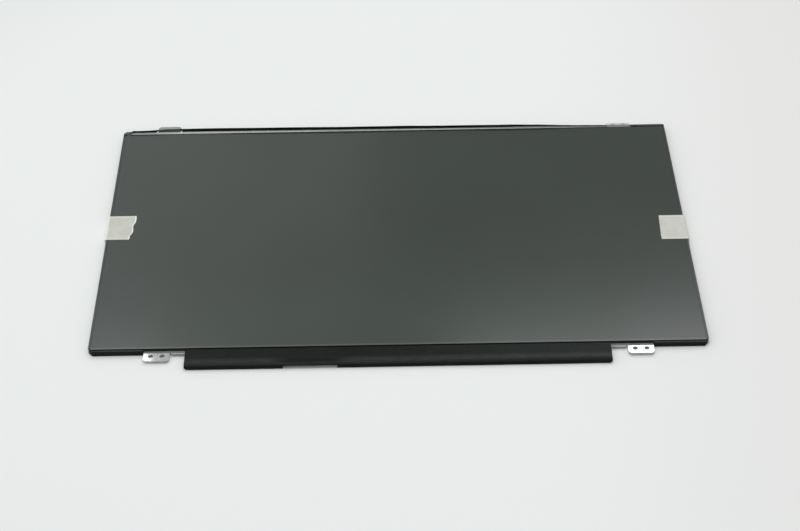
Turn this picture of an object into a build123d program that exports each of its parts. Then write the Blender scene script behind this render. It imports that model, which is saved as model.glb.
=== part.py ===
from build123d import *
import os
from math import cos, radians, sin

# A slim laptop screen panel, lying on its back with the screen up. Millimetres.
# X runs along the width, Y from the board strip to the top edge, Z out of the screen.
# It is drawn with Y = 0 at the frame's lower outer face and Z = 0 under the back plate.

# Outline
PANEL_WIDTH = 320.4
FRAME_HEIGHT = 193.8
STRIP_REACH = 11.8

# Layers, from the back to the front
CHASSIS_SHEET = 0.3
REFLECTOR_SHEET = 0.2
GUIDE_PLATE = 1.0
DIFFUSER_SHEET = 0.1
PRISM_SHEET = 0.15
SHIELD_TAPE = 0.1
POLARIZER_FILM = 0.2
CELL_GLASS = 0.5
EDGE_TAPE = 0.1
PAPER_TAPE = 0.12

# Plays between pieces
FRAME_PLAY = 0.1
CELL_PLAY = 0.2
SHEET_PLAY = 0.3
POCKET_PLAY = 0.2

# The glass cell and the picture area
FACE_BELOW = 1.4
FACE_ABOVE = 2.4
GLASS_LEDGE = 1.2
CORNER_CUT = 1.7
REAR_FILM_MARGIN = 0.5
PICTURE_SIDE_BORDER = 4.2
PICTURE_TOP_BORDER = 3.4
PICTURE_LOWER_BORDER = 12.6
SHIELD_MARGIN = 0.3

# The chassis
BEND_RADIUS = 0.25
RAIL_TOP = 3.3
FLANGE_TOP = 1.8
FLANGE_REACH = 1.1
RISER_SETBACK = 0.9
TAB_WIDTH = 13.5
TAB_REACH = 5.2
TAB_CORNER = 1.3
TAB_HOLE_RADIUS = 1.3
TAB_HOLE_PITCH = 6.0
TAB_HOLE_REACH = 1.6
LOWER_TAB_INSET = 35.5
UPPER_TAB_INSET = 27.0
RELIEF_WIDTH = 0.8
BENT_TAB_DROOP = 24.0
WINDOW_LENGTH = 6.0
WINDOW_BOTTOM = 0.8
WINDOW_HEIGHT = 0.6
SIDE_WINDOW_PITCH = 57.0
SIDE_WINDOWS = 3
TOP_WINDOW_PITCH = 66.0
TOP_WINDOWS = 4

# The plastic frame
LIP_WIDTH = 0.6
SIDE_BAR = 4.1
TOP_BAR = 3.5
LOWER_WALL = 1.0
LOWER_SHELF = 5.7
CORNER_SKIRT = 0.5
CORNER_FOOT = 0.1
CORNER_TOP = 3.0
HOOK_STAND = 0.3
EAR_WIDTH = 10.0
EAR_HEIGHT = 1.6
EAR_X = 95.0

# The light bar
LED_COUNT = 48
LED_WIDTH = 3.8
LED_DEPTH = 1.2
LED_HEIGHT = 0.8
LED_RIM = 0.2
LED_POCKET = 0.2
LED_GAP = 0.2
FLEX_SHEET = 0.1
FLEX_WIDTH = 3.0
FLEX_END_GAP = 2.0
TAIL_FROM_BOARD_END = 29.8
TAIL_WIDTH = 7.0
TAIL_ROOM = 0.3

# The board and what it carries
BOARD_WIDTH = 217.6
BOARD_DEPTH = 8.2
BOARD_SHEET = 0.8
BOARD_BOTTOM = 1.4
BOARD_HOLE_RADIUS = 0.8
BOARD_HOLE_INSET = 2.0
DRIVER_FILM = 0.1
DRIVER_FILM_WIDTH = 34.0
DRIVER_FILM_FROM_BOARD_END = 36.8
DRIVER_FILM_OVERLAP = 2.0
DRIVER_CHIP = (14.0, 1.4, 0.3)
TIMING_CHIP = (7.0, 6.4, 0.9)
BACKLIGHT_CHIP = (4.0, 4.0, 0.8)
POWER_CHIP = (3.0, 3.0, 0.8)
COIL = (4.4, 4.4, 1.0)
COIL_ROUND = 1.2
CAPACITOR = (1.6, 0.8, 0.8)
CAPACITOR_PITCH = 3.4
CAPACITORS_PER_ROW = 5
CAPACITORS_FROM_BOARD_END = 16.8
TIMING_CHIP_X = 10.0
POWER_CHIP_FROM_SOCKET = 27.5
COIL_FROM_TAIL = 33.0
BACKLIGHT_CHIP_FROM_TAIL = 21.0
CHIP_EDGE = 0.15

# The sockets on the back of the board
SOCKET_FROM_BOARD_END = 63.3
SOCKET_WIDTH = 25.6
SOCKET_DEPTH = 3.6
SOCKET_HEIGHT = 1.0
SOCKET_SETBACK = 1.0
SOCKET_WALL = 0.3
SOCKET_CHEEK = 2.0
SHELL_SHEET = 0.12
SHELL_EAR = 0.9
CONTACT_COUNT = 40
CONTACT_PITCH = 0.5
CONTACT_WIDTH = 0.2
CONTACT_SHEET = 0.12
CONTACT_FOOT = 0.8
CONTACT_SETBACK = 0.5
TAIL_SOCKET = (10.0, 3.4, 1.3)
TAIL_SOCKET_SETBACK = 0.3
TAIL_GRIP = 2.0
TAIL_SLOT_PLAY = 0.05

# Tapes
COVER_LEFT_OVERHANG = 1.2
COVER_RIGHT_OVERHANG = 0.4
COVER_FOLD = 0.7
FOLD_ROOM = 0.4
COVER_LIP_BOTTOM = 0.15
COVER_LIP_CORNER = 1.2
NOTCH_WIDTH = 28.0
NOTCH_DEPTH = 0.8
TAPE_FOOT = 0.3
TOP_FLAP = 2.2
SLIT_WIDTH = 0.9
SLIT_HEIGHT = 0.7
HOLDING_WIDTH = 21.0
HOLDING_FOLD = 0.9
HOLDING_DROP = 2.4
LEFT_HOLDING_Y = 91.7
RIGHT_HOLDING_Y = 83.6

# How far the loose edge of the top tape has risen from lying flat, at even steps from left to right
FLAP_DEGREES = (48, 94, 94, 90, 82, 70, 48, 20)
FLAP_SECTIONS = 21

# Reach of the holding tapes in from the panel's edge, at even steps from their lower to their upper corner
LEFT_TEAR = (12.1, 11.9, 13.9, 12.9, 13.4, 14.1, 14.7)
RIGHT_TEAR = (13.9, 14.2, 14.0, 13.9, 13.7, 13.5, 13.4)

# Heights that follow from the layers
GUIDE_BOTTOM = CHASSIS_SHEET + REFLECTOR_SHEET
GUIDE_TOP = GUIDE_BOTTOM + GUIDE_PLATE
LOWER_PRISM_BOTTOM = GUIDE_TOP + DIFFUSER_SHEET
UPPER_PRISM_BOTTOM = LOWER_PRISM_BOTTOM + PRISM_SHEET
UPPER_DIFFUSER_BOTTOM = UPPER_PRISM_BOTTOM + PRISM_SHEET
SHELF_TOP = UPPER_DIFFUSER_BOTTOM + DIFFUSER_SHEET
REAR_FILM_BOTTOM = SHELF_TOP + SHIELD_TAPE
TFT_BOTTOM = REAR_FILM_BOTTOM + POLARIZER_FILM
FILTER_BOTTOM = TFT_BOTTOM + CELL_GLASS
FRONT_FILM_BOTTOM = FILTER_BOTTOM + CELL_GLASS
FACE_TOP = FRONT_FILM_BOTTOM + POLARIZER_FILM
LIP_TOP = FACE_TOP - EDGE_TAPE
RAIL_BOTTOM = RAIL_TOP - CHASSIS_SHEET
FLANGE_BOTTOM = FLANGE_TOP - CHASSIS_SHEET
FLEX_TOP = CHASSIS_SHEET + FLEX_SHEET
BOARD_TOP = BOARD_BOTTOM + BOARD_SHEET
WINDOW_MIDDLE = WINDOW_BOTTOM + WINDOW_HEIGHT / 2

# Places that follow from the outline
EDGE_X = PANEL_WIDTH / 2
WALL_X = EDGE_X - EDGE_TAPE
WALL_TOP_Y = FRAME_HEIGHT - EDGE_TAPE
FRAME_X = WALL_X - CHASSIS_SHEET - FRAME_PLAY
FRAME_TOP_Y = WALL_TOP_Y - CHASSIS_SHEET - FRAME_PLAY
RAIL_LEFT = CORNER_CUT - WALL_X
RAIL_RIGHT = WALL_X
LOWER_TAB_X = EDGE_X - LOWER_TAB_INSET
UPPER_TAB_X = EDGE_X - UPPER_TAB_INSET
PLATE_Y = CORNER_SKIRT + FRAME_PLAY
SIDE_WALL_Y = PLATE_Y + CORNER_CUT
RISER_INNER = RISER_SETBACK + CHASSIS_SHEET
INSET_Y = RISER_INNER + FRAME_PLAY
FLANGE_X = LOWER_TAB_X + TAB_WIDTH / 2
CORNER_X = FLANGE_X + POCKET_PLAY
CELL_X = FRAME_X - LIP_WIDTH - CELL_PLAY
FACE_TOP_Y = FRAME_HEIGHT - FACE_ABOVE
SIDE_WALL_TOP_Y = WALL_TOP_Y - CORNER_CUT
TFT_Y = FACE_BELOW - GLASS_LEDGE
OPENING_X = FRAME_X - SIDE_BAR
OPENING_TOP_Y = FRAME_TOP_Y - TOP_BAR
SHEET_X = OPENING_X - SHEET_PLAY
FLEX_X = OPENING_X - FLEX_END_GAP
LED_PITCH = 2 * FLEX_X / LED_COUNT
SHEET_TOP_Y = OPENING_TOP_Y - SHEET_PLAY
SHELF_Y = INSET_Y + LOWER_SHELF
SHEET_Y = SHELF_Y + SHEET_PLAY
FLEX_Y = INSET_Y + LOWER_WALL + FRAME_PLAY
GUIDE_Y = FLEX_Y + FLEX_WIDTH
LED_FACE_Y = GUIDE_Y - LED_GAP
BOARD_X = BOARD_WIDTH / 2
COVER_LEFT = -BOARD_X - COVER_LEFT_OVERHANG
COVER_RIGHT = BOARD_X + COVER_RIGHT_OVERHANG
TAIL_X = BOARD_X - TAIL_FROM_BOARD_END
SOCKET_X = SOCKET_FROM_BOARD_END - BOARD_X
DRIVER_FILM_X = BOARD_X - DRIVER_FILM_FROM_BOARD_END
POWER_CHIP_X = SOCKET_X + POWER_CHIP_FROM_SOCKET
COIL_X = TAIL_X - COIL_FROM_TAIL
BACKLIGHT_CHIP_X = TAIL_X - BACKLIGHT_CHIP_FROM_TAIL
END_CAPACITORS_X = BOARD_X - CAPACITORS_FROM_BOARD_END
MIDDLE_CAPACITORS_X = (TIMING_CHIP_X + COIL_X) / 2
BOARD_FRONT = FOLD_ROOM + EDGE_TAPE - STRIP_REACH
BOARD_BACK = BOARD_FRONT + BOARD_DEPTH
BOARD_MIDDLE = (BOARD_FRONT + BOARD_BACK) / 2
TAIL_SOCKET_BACK = BOARD_BACK - TAIL_SOCKET_SETBACK
SOCKET_FRONT = BOARD_FRONT + SOCKET_SETBACK
SOCKET_BACK = SOCKET_FRONT + SOCKET_DEPTH
SOCKET_BOTTOM = BOARD_BOTTOM - SOCKET_HEIGHT

# The origin: the middle of the outline from the lip of the board strip to the end of the flat upper tab
MIDDLE_Y = (WALL_TOP_Y + TAB_REACH - STRIP_REACH) / 2


def block(x0, x1, y0, y1, z0, z1):
    """A box given by its two ends along each axis."""
    return Pos(x0, y0, z0) * Box(x1 - x0, y1 - y0, z1 - z0, align=(Align.MIN, Align.MIN, Align.MIN))


def sheet(half_width, y0, y1, bottom, thickness):
    """A flat sheet, centred on the panel's width."""
    return block(-half_width, half_width, y0, y1, bottom, bottom + thickness)


def spread(count, pitch):
    """Places of a row of equal steps, centred on zero."""
    return [(i - (count - 1) / 2) * pitch for i in range(count)]


def along_x(profile, x0, x1):
    """Extrudes a profile drawn in Y and Z from x0 to x1."""
    return Pos(x0, 0, 0) * extrude(Plane.YZ * profile, x1 - x0, dir=(1, 0, 0))


def group(solids):
    """Separate solids that share one node."""
    return Compound(children=solids)


def without_corner(solid, x, y):
    """Cuts off a corner that stands at x, y."""
    side = CORNER_CUT * 2**0.5
    return solid - Pos(x, y, 0) * Rot(Z=45) * Box(side, side, FACE_TOP * 4)


def tab_places():
    """Where each screw tab's root lies: the two lower ones, the flat upper one and the one bent down."""
    return (
        Pos(-LOWER_TAB_X, -FLANGE_REACH, FLANGE_TOP) * Rot(Z=180),
        Pos(LOWER_TAB_X, -FLANGE_REACH, FLANGE_TOP) * Rot(Z=180),
        Pos(-UPPER_TAB_X, WALL_TOP_Y, RAIL_TOP),
        Pos(UPPER_TAB_X, WALL_TOP_Y, RAIL_TOP) * Rot(X=-BENT_TAB_DROOP),
    )


def screw_tab():
    """One tab in its own plane, reaching out along +Y from its root."""
    plate = block(-TAB_WIDTH / 2, TAB_WIDTH / 2, 0, TAB_REACH, -CHASSIS_SHEET, 0)
    return chamfer(plate.edges().filter_by(Axis.Z).group_by(Axis.Y)[-1], TAB_CORNER)


def tab_hole(x):
    return Pos(x, TAB_HOLE_REACH, 0) * Cylinder(TAB_HOLE_RADIUS, CHASSIS_SHEET * 4)


def side_wall(side):
    """A side wall of the chassis, with the windows that the plastic frame clips into."""
    wall = block(WALL_X - CHASSIS_SHEET, WALL_X, SIDE_WALL_Y, SIDE_WALL_TOP_Y, 0, LIP_TOP)
    for y in spread(SIDE_WINDOWS, SIDE_WINDOW_PITCH):
        wall -= Pos(WALL_X, FRAME_HEIGHT / 2 + y, WINDOW_MIDDLE) * Box(
            CHASSIS_SHEET * 4, WINDOW_LENGTH, WINDOW_HEIGHT)
    return wall if side > 0 else mirror(wall, about=Plane.YZ)


def top_rail():
    """The top wall with its clip windows, folded over at the top into a rail, and open under the tabs."""
    wall = block(RAIL_LEFT, RAIL_RIGHT, WALL_TOP_Y - CHASSIS_SHEET, WALL_TOP_Y, 0, RAIL_TOP)
    for x in spread(TOP_WINDOWS, TOP_WINDOW_PITCH):
        wall -= Pos(x, WALL_TOP_Y, WINDOW_MIDDLE) * Box(WINDOW_LENGTH, CHASSIS_SHEET * 4, WINDOW_HEIGHT)
    for x in (-UPPER_TAB_X, UPPER_TAB_X):
        wall -= block(x - TAB_WIDTH / 2, x + TAB_WIDTH / 2, WALL_TOP_Y - CHASSIS_SHEET, WALL_TOP_Y,
                      CHASSIS_SHEET, RAIL_BOTTOM)
    rail_inner_y = FACE_TOP_Y + FRAME_PLAY
    return wall + block(RAIL_LEFT, RAIL_RIGHT, rail_inner_y, WALL_TOP_Y, RAIL_BOTTOM, RAIL_TOP)


def lower_flange():
    """The back plate's lower edge, stepped up into a flange, with reliefs beside the tabs."""
    riser = block(-FLANGE_X, FLANGE_X, RISER_SETBACK, RISER_INNER, 0, FLANGE_TOP)
    riser -= tail_window(RISER_SETBACK, RISER_INNER)
    flange = block(-FLANGE_X, FLANGE_X, -FLANGE_REACH, RISER_INNER, FLANGE_BOTTOM, FLANGE_TOP)
    for side in (-1, 1):
        relief_x = side * (LOWER_TAB_X - TAB_WIDTH / 2 - RELIEF_WIDTH / 2)
        flange -= block(relief_x - RELIEF_WIDTH / 2, relief_x + RELIEF_WIDTH / 2,
                        -FLANGE_REACH, 0, FLANGE_BOTTOM, FLANGE_TOP)
    return riser + flange


def tail_window(y0, y1):
    """The way out for the light bar's tail."""
    half = TAIL_WIDTH / 2 + POCKET_PLAY
    return block(TAIL_X - half, TAIL_X + half, y0, y1, CHASSIS_SHEET, CHASSIS_SHEET + TAIL_ROOM)


def rear_chassis():
    plate = block(-WALL_X, WALL_X, PLATE_Y, WALL_TOP_Y, 0, CHASSIS_SHEET)
    corners = plate.edges().filter_by(Axis.Z)
    plate = chamfer([c for c in corners if c.center().X < 0 or c.center().Y < MIDDLE_Y], CORNER_CUT)
    plate -= block(-FLANGE_X, FLANGE_X, 0, RISER_SETBACK, 0, CHASSIS_SHEET)
    shell = plate + top_rail() + lower_flange()
    for side in (-1, 1):
        shell += side_wall(side)
    back = shell.faces().sort_by(Axis.Z)[0]
    folds = [edge for edge in back.outer_wire().edges() if edge.center().Y > SIDE_WALL_Y]
    shell = fillet(folds, BEND_RADIUS)
    for place in tab_places():
        shell += place * screw_tab()
    for place in tab_places():
        for x in spread(2, TAB_HOLE_PITCH):
            shell -= place * tab_hole(x)
    return shell


def clip_hook(length):
    """A wedge that stands out along +X and catches in a chassis window."""
    low = WINDOW_BOTTOM + POCKET_PLAY / 2
    high = WINDOW_BOTTOM + WINDOW_HEIGHT - POCKET_PLAY / 2
    wedge = Polygon((0, low), (HOOK_STAND, low), (0, high), align=None)
    return Pos(0, -length / 2, 0) * extrude(Plane.XZ * wedge, length, dir=(0, 1, 0))


def ear_pocket(x):
    half = EAR_WIDTH / 2 + POCKET_PLAY
    pocket_top_y = SHEET_TOP_Y + EAR_HEIGHT + POCKET_PLAY
    return block(x - half, x + half, OPENING_TOP_Y, pocket_top_y, GUIDE_TOP, SHELF_TOP)


def mold_frame():
    ring = block(-FRAME_X, FRAME_X, 0, FRAME_TOP_Y, CHASSIS_SHEET, SHELF_TOP)
    ring -= block(-CORNER_X, CORNER_X, 0, INSET_Y, CHASSIS_SHEET, SHELF_TOP)
    ring -= block(-OPENING_X, OPENING_X, INSET_Y + LOWER_WALL, OPENING_TOP_Y, CHASSIS_SHEET, GUIDE_TOP)
    ring -= block(-OPENING_X, OPENING_X, SHELF_Y, OPENING_TOP_Y, GUIDE_TOP, SHELF_TOP)
    ring -= tail_window(INSET_Y, INSET_Y + LOWER_WALL)
    for x in (-EAR_X, EAR_X):
        ring -= ear_pocket(x)
    for side in (-1, 1):
        skirt = block(CORNER_X, FRAME_X, 0, CORNER_SKIRT, CORNER_FOOT, CHASSIS_SHEET)
        lip = block(FRAME_X - LIP_WIDTH, FRAME_X, TFT_Y, FACE_TOP_Y, SHELF_TOP, LIP_TOP)
        hook = Pos(FRAME_X, 0, 0) * clip_hook(WINDOW_LENGTH - POCKET_PLAY)
        corner = block(CORNER_X, FRAME_X, 0, FACE_BELOW - CELL_PLAY, SHELF_TOP, CORNER_TOP)
        pieces = [skirt, lip, corner]
        for y in spread(SIDE_WINDOWS, SIDE_WINDOW_PITCH):
            pieces.append(Pos(0, FRAME_HEIGHT / 2 + y, 0) * hook)
        for piece in pieces:
            ring += piece if side > 0 else mirror(piece, about=Plane.YZ)
    ring += block(-FRAME_X, FRAME_X, FACE_TOP_Y + CELL_PLAY, FRAME_TOP_Y, SHELF_TOP, RAIL_BOTTOM)
    for x in spread(TOP_WINDOWS, TOP_WINDOW_PITCH):
        ring += Pos(x, FRAME_TOP_Y, 0) * Rot(Z=90) * clip_hook(WINDOW_LENGTH - POCKET_PLAY)
    for x, y in ((-FRAME_X, FRAME_TOP_Y), (-FRAME_X, 0), (FRAME_X, 0)):
        ring = without_corner(ring, x, y)
    return ring


def light_sheet(bottom, thickness):
    """A backlight film, with two ears at its upper edge that sit in the frame's pockets."""
    film = sheet(SHEET_X, SHEET_Y, SHEET_TOP_Y, bottom, thickness)
    for x in (-EAR_X, EAR_X):
        film += block(x - EAR_WIDTH / 2, x + EAR_WIDTH / 2, SHEET_TOP_Y, SHEET_TOP_Y + EAR_HEIGHT,
                      bottom, bottom + thickness)
    return film


def led_flex_strip():
    strip = block(-FLEX_X, FLEX_X, FLEX_Y, GUIDE_Y, CHASSIS_SHEET, FLEX_TOP)
    tail_end = TAIL_SOCKET_BACK - TAIL_GRIP
    return strip + block(TAIL_X - TAIL_WIDTH / 2, TAIL_X + TAIL_WIDTH / 2, tail_end, FLEX_Y,
                         CHASSIS_SHEET, FLEX_TOP)


def leds():
    half = LED_WIDTH / 2
    led_top = FLEX_TOP + LED_HEIGHT
    body = block(-half, half, LED_FACE_Y - LED_DEPTH, LED_FACE_Y, FLEX_TOP, led_top)
    body -= block(LED_RIM - half, half - LED_RIM, LED_FACE_Y - LED_POCKET, LED_FACE_Y,
                  FLEX_TOP + LED_RIM, led_top - LED_RIM)
    return group([Pos(x, 0, 0) * body for x in spread(LED_COUNT, LED_PITCH)])


def light_shield_tape():
    ring = sheet(CELL_X, INSET_Y, FACE_TOP_Y, SHELF_TOP, SHIELD_TAPE)
    window_x = CELL_X - PICTURE_SIDE_BORDER + SHIELD_MARGIN
    window_top = FACE_TOP_Y - PICTURE_TOP_BORDER + SHIELD_MARGIN
    window_bottom = FACE_BELOW + PICTURE_LOWER_BORDER - SHIELD_MARGIN
    ring -= sheet(window_x, window_bottom, window_top, SHELF_TOP, SHIELD_TAPE)
    return without_corner(ring, -CELL_X, FACE_TOP_Y)


def rear_polarizer():
    film = sheet(CELL_X - REAR_FILM_MARGIN, FACE_BELOW, FACE_TOP_Y - REAR_FILM_MARGIN,
                 REAR_FILM_BOTTOM, POLARIZER_FILM)
    return without_corner(film, -CELL_X, FACE_TOP_Y)


def cell_layer(lower_y, bottom, thickness):
    """A layer of the glass cell, with the cut corner that marks which way round it goes."""
    return without_corner(sheet(CELL_X, lower_y, FACE_TOP_Y, bottom, thickness), -CELL_X, FACE_TOP_Y)


def tft_glass():
    """The rear glass: under the board's tape it reaches further down than the front one, as a ledge."""
    glass = cell_layer(FACE_BELOW, TFT_BOTTOM, CELL_GLASS)
    return glass + block(COVER_LEFT, COVER_RIGHT, TFT_Y, FACE_BELOW, TFT_BOTTOM, FILTER_BOTTOM)


def driver_film(x):
    """The film from the glass ledge down to the board."""
    under = (
        (FACE_BELOW - CELL_PLAY, FILTER_BOTTOM),
        (TFT_Y, FILTER_BOTTOM),
        (BOARD_BACK, BOARD_TOP),
        (BOARD_BACK - DRIVER_FILM_OVERLAP, BOARD_TOP),
    )
    over = [(y, z + DRIVER_FILM) for y, z in reversed(under)]
    half = DRIVER_FILM_WIDTH / 2
    return along_x(Polygon(*under, *over, align=None), x - half, x + half)


def driver_chip(x):
    """The driver on the film's under side, halfway down its slope."""
    middle = Vector(0, (TFT_Y + BOARD_BACK) / 2, (FILTER_BOTTOM + BOARD_TOP) / 2)
    slope = Vector(TFT_Y - BOARD_BACK, FILTER_BOTTOM - BOARD_TOP).get_angle(Vector(1, 0))
    body = Box(*DRIVER_CHIP, align=(Align.CENTER, Align.CENTER, Align.MAX))
    return Pos(x, middle.Y, middle.Z) * Rot(X=slope) * body


def circuit_board():
    board = sheet(BOARD_X, BOARD_FRONT, BOARD_BACK, BOARD_BOTTOM, BOARD_SHEET)
    for side in (-1, 1):
        x = side * (BOARD_X - BOARD_HOLE_INSET)
        board -= Pos(x, BOARD_MIDDLE, BOARD_BOTTOM) * Cylinder(BOARD_HOLE_RADIUS, BOARD_SHEET * 4)
    return board


def under_board(x, size):
    """A block on the back of the board."""
    return Pos(x, BOARD_MIDDLE, BOARD_BOTTOM) * Box(*size, align=(Align.CENTER, Align.CENTER, Align.MAX))


def chip(x, size):
    body = under_board(x, size)
    return chamfer(body.faces().sort_by(Axis.Z)[0].edges(), CHIP_EDGE)


def backlight_coil():
    return fillet(under_board(COIL_X, COIL).edges().filter_by(Axis.Z), COIL_ROUND)


def board_capacitors():
    rows = (-END_CAPACITORS_X, MIDDLE_CAPACITORS_X, END_CAPACITORS_X)
    places = [row + x for row in rows for x in spread(CAPACITORS_PER_ROW, CAPACITOR_PITCH)]
    return group([under_board(x, CAPACITOR) for x in places])


def signal_socket_housing():
    half = SOCKET_WIDTH / 2
    mouth = half - SOCKET_CHEEK
    floor = SOCKET_BOTTOM + SOCKET_WALL
    roof = BOARD_BOTTOM - SOCKET_WALL
    body = block(-half, half, SOCKET_FRONT, SOCKET_BACK, SOCKET_BOTTOM, BOARD_BOTTOM)
    body -= block(-mouth, mouth, SOCKET_FRONT, SOCKET_BACK, floor, roof)
    return Pos(SOCKET_X, 0, 0) * body


def signal_socket_shell():
    """A bent cover over the housing's outer face and ends, with ears soldered to the board."""
    outer = SOCKET_WIDTH / 2 + SHELL_SHEET
    back = SOCKET_BACK - SOCKET_WALL
    cover = block(-outer, outer, SOCKET_FRONT, back, SOCKET_BOTTOM - SHELL_SHEET, SOCKET_BOTTOM)
    for side in (-1, 1):
        cheek = block(SOCKET_WIDTH / 2, outer, SOCKET_FRONT, back, SOCKET_BOTTOM, BOARD_BOTTOM)
        ear_bottom = BOARD_BOTTOM - SHELL_SHEET
        cheek += block(outer, outer + SHELL_EAR, SOCKET_FRONT, back, ear_bottom, BOARD_BOTTOM)
        cover += cheek if side > 0 else mirror(cheek, about=Plane.YZ)
    return Pos(SOCKET_X, 0, 0) * cover


def signal_socket_contacts():
    """One strip per contact: along the roof of the socket, out at its back and up to a foot on the board."""
    half = CONTACT_WIDTH / 2
    roof = BOARD_BOTTOM - SOCKET_WALL
    under_roof = roof - CONTACT_SHEET
    foot = BOARD_BOTTOM - CONTACT_SHEET
    blade = block(-half, half, SOCKET_FRONT + CONTACT_SETBACK, SOCKET_BACK, under_roof, roof)
    blade += block(-half, half, SOCKET_BACK, SOCKET_BACK + CONTACT_SHEET, under_roof, BOARD_BOTTOM)
    blade += block(-half, half, SOCKET_BACK, SOCKET_BACK + CONTACT_FOOT, foot, BOARD_BOTTOM)
    return group([Pos(SOCKET_X + x, 0, 0) * blade for x in spread(CONTACT_COUNT, CONTACT_PITCH)])


def backlight_socket():
    """The socket that the light bar's tail slides into from behind."""
    width, depth, height = TAIL_SOCKET
    body = block(-width / 2, width / 2, TAIL_SOCKET_BACK - depth, TAIL_SOCKET_BACK,
                 BOARD_BOTTOM - height, BOARD_BOTTOM)
    half = TAIL_WIDTH / 2 + POCKET_PLAY
    slot_end = TAIL_SOCKET_BACK - TAIL_GRIP - POCKET_PLAY
    body -= block(-half, half, slot_end, TAIL_SOCKET_BACK,
                  CHASSIS_SHEET - TAIL_SLOT_PLAY, FLEX_TOP + TAIL_SLOT_PLAY)
    return Pos(TAIL_X, 0, 0) * body


def board_cover_tape():
    """The tape from the glass ledge over the films and the board, folded down into a lip at the front."""
    regions = []
    for skin in (EDGE_TAPE, 0):
        front = EDGE_TAPE - skin - STRIP_REACH
        ledge = FILTER_BOTTOM + DRIVER_FILM + skin
        top = BOARD_TOP + DRIVER_FILM + skin
        region = Polygon(
            (FACE_BELOW - FRAME_PLAY, COVER_LIP_BOTTOM),
            (FACE_BELOW - FRAME_PLAY, ledge),
            (TFT_Y, ledge),
            (BOARD_BACK, top),
            (front, top),
            (front, COVER_LIP_BOTTOM),
            align=None,
        )
        upper_front = region.vertices().group_by(Axis.X)[0].sort_by(Axis.Y)[-1]
        regions.append(fillet(upper_front, COVER_FOLD + skin))
    tape = along_x(regions[0] - regions[1], COVER_LEFT, COVER_RIGHT)
    lip_ends = tape.edges().filter_by(Axis.Y).group_by(Axis.Z)[0]
    tape = chamfer(lip_ends, COVER_LIP_CORNER)
    return tape - block(SOCKET_X - NOTCH_WIDTH / 2, SOCKET_X + NOTCH_WIDTH / 2, -STRIP_REACH,
                        NOTCH_DEPTH - STRIP_REACH, 0, FACE_TOP)


def edge_tape(side):
    """A side tape: down the chassis wall, and over its top to the edge of the glass."""
    tape = block(WALL_X, EDGE_X, SIDE_WALL_Y, SIDE_WALL_TOP_Y, TAPE_FOOT, FACE_TOP)
    tape += block(CELL_X + FRAME_PLAY, WALL_X, SIDE_WALL_Y, SIDE_WALL_TOP_Y, LIP_TOP, FACE_TOP)
    return tape if side > 0 else mirror(tape, about=Plane.YZ)


def flap_rise(share):
    """The angle of the loose edge at a share of its length, between the two angles beside it."""
    at = share * (len(FLAP_DEGREES) - 1)
    i = min(int(at), len(FLAP_DEGREES) - 2)
    return FLAP_DEGREES[i] + (FLAP_DEGREES[i + 1] - FLAP_DEGREES[i]) * (at - i)


def flap_corners(share):
    """The four corners of the loose edge, cut across at a share of its length."""
    rise = radians(flap_rise(share))
    up = Vector(0, -cos(rise), sin(rise)) * TOP_FLAP
    out = Vector(0, sin(rise), cos(rise)) * EDGE_TAPE
    inner = Vector(RAIL_LEFT + (RAIL_RIGHT - RAIL_LEFT) * share, WALL_TOP_Y, RAIL_TOP)
    return inner, inner + Vector(0, EDGE_TAPE, 0), inner + up + out, inner + up


def flat_face(*corners):
    return make_face(Polyline(*corners, close=True))


def loose_edge():
    """The loose edge of the top tape: a twisted strip made of flat triangles."""
    cuts = [flap_corners(i / FLAP_SECTIONS) for i in range(FLAP_SECTIONS + 1)]
    faces = [flat_face(*cuts[0]), flat_face(*cuts[-1])]
    for here, there in zip(cuts, cuts[1:]):
        for i, j in ((0, 1), (1, 2), (2, 3), (0, 3)):
            faces.append(flat_face(here[i], there[i], there[j]))
            faces.append(flat_face(here[i], there[j], here[j]))
    return Solid(Shell(faces))


def top_edge_tape():
    """The tape on the top wall, with its loose edge standing up, open at the tabs."""
    tape = block(RAIL_LEFT, RAIL_RIGHT, WALL_TOP_Y, FRAME_HEIGHT, TAPE_FOOT, RAIL_TOP)
    tape += loose_edge()
    half = TAB_WIDTH / 2 + POCKET_PLAY
    tape -= block(-UPPER_TAB_X - half, -UPPER_TAB_X + half, WALL_TOP_Y, FRAME_HEIGHT, RAIL_BOTTOM, RAIL_TOP)
    tape -= block(UPPER_TAB_X - half, UPPER_TAB_X + half, FACE_TOP_Y, FRAME_HEIGHT + TOP_FLAP,
                  RAIL_BOTTOM - CHASSIS_SHEET, RAIL_TOP + TOP_FLAP)
    for x in (-UPPER_TAB_X - half, -UPPER_TAB_X + half):
        tape -= Pos(x, WALL_TOP_Y, RAIL_TOP + SLIT_HEIGHT / 2) * Box(SLIT_WIDTH, TOP_FLAP * 2, SLIT_HEIGHT)
    return tape


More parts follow.
